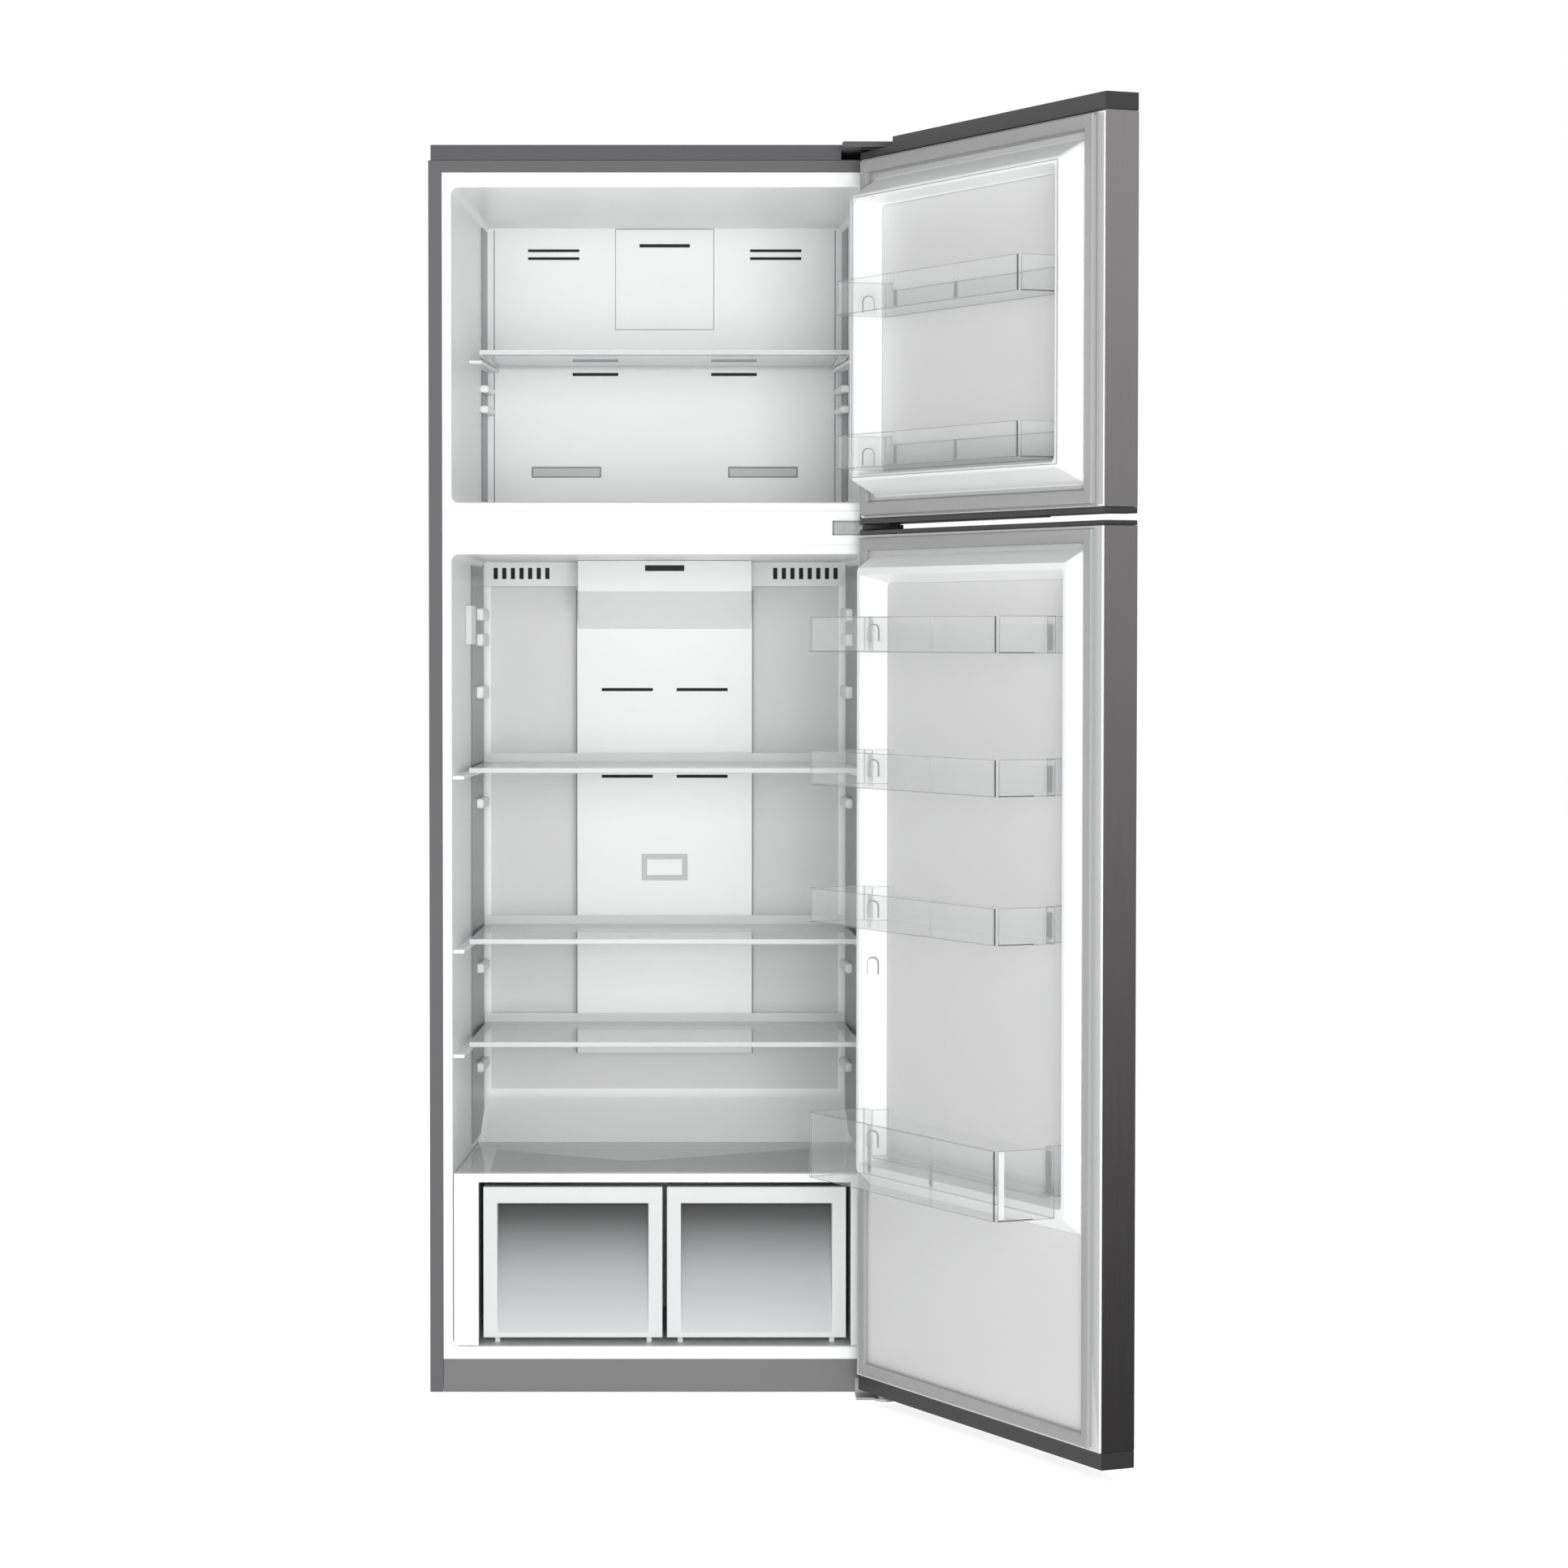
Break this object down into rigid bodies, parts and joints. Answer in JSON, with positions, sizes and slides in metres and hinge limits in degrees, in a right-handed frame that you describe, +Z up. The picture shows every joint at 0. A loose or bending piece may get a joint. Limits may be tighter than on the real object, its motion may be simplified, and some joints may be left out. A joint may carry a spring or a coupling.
{
  "type": "top freezer refrigerator",
  "caption": "Tall fridge with a small freezer compartment on top, side-hinged doors standing open, glass shelves, clear door bins and crisper drawers",
  "frame": {"origin": "centre of the cabinet's footprint, on the underside of the base plate's centre pad, 8 mm above the floor that the feet stand on", "axes": "+Z up, +Y to the back of the cabinet, +X to the hinge side, which is on the right seen from the front"},
  "size_m": [0.9848, 1.3084, 1.8678],
  "materials": {
    "side_steel": "grey painted steel, satin",
    "door_steel": "dark brushed stainless look",
    "white_plastic": "white glossy plastic",
    "grey_plastic": "mid grey matt plastic",
    "dark_plastic": "dark grey matt plastic",
    "gasket_rubber": "soft grey seal",
    "clear_plastic": "clear moulded plastic",
    "shelf_glass": "clear safety glass",
    "foam": "pale yellow insulating foam",
    "zinc_steel": "zinc plated steel",
    "aluminium": "bare aluminium",
    "black_steel": "black painted steel"
  },
  "bodies": {
    "cabinet": {"air_duct": "white_plastic", "back_panel": "zinc_steel", "base_plate": "zinc_steel", "cabinet_foam": "foam", "cabinet_shell": "side_steel", "compressor": "black_steel", "compressor_tray": "zinc_steel", "condenser": "aluminium", "crisper_frame": "white_plastic", "crisper_glass": "shelf_glass", "damper_housing": "white_plastic", "drip_tray": "dark_plastic", "evaporator": "aluminium", "evaporator_cover": "white_plastic", "fan_motor": "dark_plastic", "freezer_liner": "white_plastic", "fridge_liner": "white_plastic", "interior_lamp": "clear_plastic", "lower_hinge": "zinc_steel", "middle_hinge": "zinc_steel", "mullion_cover": "white_plastic", "plinth": "grey_plastic", "power_inlet": "dark_plastic", "rear_grille": "zinc_steel", "top_cover": "side_steel", "top_hinge": "zinc_steel"},
    "upper_door": {"upper_door_foam": "foam", "upper_door_foot_cap": "dark_plastic", "upper_door_gasket": "gasket_rubber", "upper_door_head_cap": "dark_plastic", "upper_door_liner": "white_plastic", "upper_door_skin": "door_steel"},
    "lower_door": {"lower_door_foam": "foam", "lower_door_foot_cap": "dark_plastic", "lower_door_gasket": "gasket_rubber", "lower_door_head_cap": "dark_plastic", "lower_door_liner": "white_plastic", "lower_door_skin": "door_steel"},
    "freezer_bin_1": {"freezer_bin_1": "clear_plastic"},
    "freezer_bin_2": {"freezer_bin_2": "clear_plastic"},
    "door_bin_1": {"door_bin_1": "clear_plastic"},
    "door_bin_2": {"door_bin_2": "clear_plastic"},
    "door_bin_3": {"door_bin_3": "clear_plastic"},
    "bottle_bin": {"bottle_bin": "clear_plastic"},
    "freezer_shelf": {"freezer_shelf_frame": "clear_plastic", "freezer_shelf_glass": "shelf_glass"},
    "shelf_1": {"shelf_1_frame": "clear_plastic", "shelf_1_glass": "shelf_glass"},
    "shelf_2": {"shelf_2_frame": "clear_plastic", "shelf_2_glass": "shelf_glass"},
    "shelf_3": {"shelf_3_frame": "clear_plastic", "shelf_3_glass": "shelf_glass"},
    "drawer_left": {"drawer_left": "clear_plastic"},
    "drawer_right": {"drawer_right": "clear_plastic"},
    "evaporator_fan": {"evaporator_fan": "grey_plastic"},
    "damper_flap": {"damper_flap": "dark_plastic"},
    "foot_left": {"foot_left": "dark_plastic"},
    "foot_right": {"foot_right": "dark_plastic"},
    "roller_left": {"roller_left": "dark_plastic"},
    "roller_right": {"roller_right": "dark_plastic"}
  },
  "joints": [
    {"name": "upper_door_hinge", "type": "hinge", "parent": "cabinet", "child": "upper_door", "pos_m": [0.328, -0.3625, 1.2966], "axis": [0, 0, 1], "range_deg": [-115.2, 15]},
    {"name": "lower_door_hinge", "type": "hinge", "parent": "cabinet", "child": "lower_door", "pos_m": [0.328, -0.3625, 0.01], "axis": [0, 0, 1], "range_deg": [-115.2, 15]},
    {"name": "drawer_left_slide", "type": "slide", "parent": "cabinet", "child": "drawer_left", "axis": [0, -1, 0], "range_m": [0, 0.26]},
    {"name": "drawer_right_slide", "type": "slide", "parent": "cabinet", "child": "drawer_right", "axis": [0, -1, 0], "range_m": [0, 0.26]},
    {"name": "freezer_shelf_slide", "type": "slide", "parent": "cabinet", "child": "freezer_shelf", "axis": [0, -1, 0], "range_m": [0, 0.12]},
    {"name": "shelf_1_slide", "type": "slide", "parent": "cabinet", "child": "shelf_1", "axis": [0, -1, 0], "range_m": [0, 0.12]},
    {"name": "shelf_2_slide", "type": "slide", "parent": "cabinet", "child": "shelf_2", "axis": [0, -1, 0], "range_m": [0, 0.12]},
    {"name": "shelf_3_slide", "type": "slide", "parent": "cabinet", "child": "shelf_3", "axis": [0, -1, 0], "range_m": [0, 0.12]},
    {"name": "freezer_bin_1_lift", "type": "slide", "parent": "upper_door", "child": "freezer_bin_1", "axis": [0, 0, 1], "range_m": [0, 0.035]},
    {"name": "freezer_bin_2_lift", "type": "slide", "parent": "upper_door", "child": "freezer_bin_2", "axis": [0, 0, 1], "range_m": [0, 0.035]},
    {"name": "door_bin_1_lift", "type": "slide", "parent": "lower_door", "child": "door_bin_1", "axis": [0, 0, 1], "range_m": [0, 0.035]},
    {"name": "door_bin_2_lift", "type": "slide", "parent": "lower_door", "child": "door_bin_2", "axis": [0, 0, 1], "range_m": [0, 0.035]},
    {"name": "door_bin_3_lift", "type": "slide", "parent": "lower_door", "child": "door_bin_3", "axis": [0, 0, 1], "range_m": [0, 0.035]},
    {"name": "bottle_bin_lift", "type": "slide", "parent": "lower_door", "child": "bottle_bin", "axis": [0, 0, 1], "range_m": [0, 0.035]},
    {"name": "evaporator_fan_spin", "type": "hinge", "parent": "cabinet", "child": "evaporator_fan", "pos_m": [0, 0.2025, 1.695], "axis": [0, 1, 0], "continuous": true},
    {"name": "damper_flap_hinge", "type": "hinge", "parent": "cabinet", "child": "damper_flap", "pos_m": [0, 0.1, 1.243], "axis": [1, 0, 0], "range_deg": [0, 75]},
    {"name": "foot_left_screw", "type": "slide", "parent": "cabinet", "child": "foot_left", "axis": [0, 0, -1], "range_m": [0, 0.012]},
    {"name": "foot_right_screw", "type": "slide", "parent": "cabinet", "child": "foot_right", "axis": [0, 0, -1], "range_m": [0, 0.012]},
    {"name": "roller_left_spin", "type": "hinge", "parent": "cabinet", "child": "roller_left", "pos_m": [-0.29, 0.2695, 0.0085], "axis": [1, 0, 0], "continuous": true},
    {"name": "roller_right_spin", "type": "hinge", "parent": "cabinet", "child": "roller_right", "pos_m": [0.29, 0.2695, 0.0085], "axis": [1, 0, 0], "continuous": true}
  ]
}
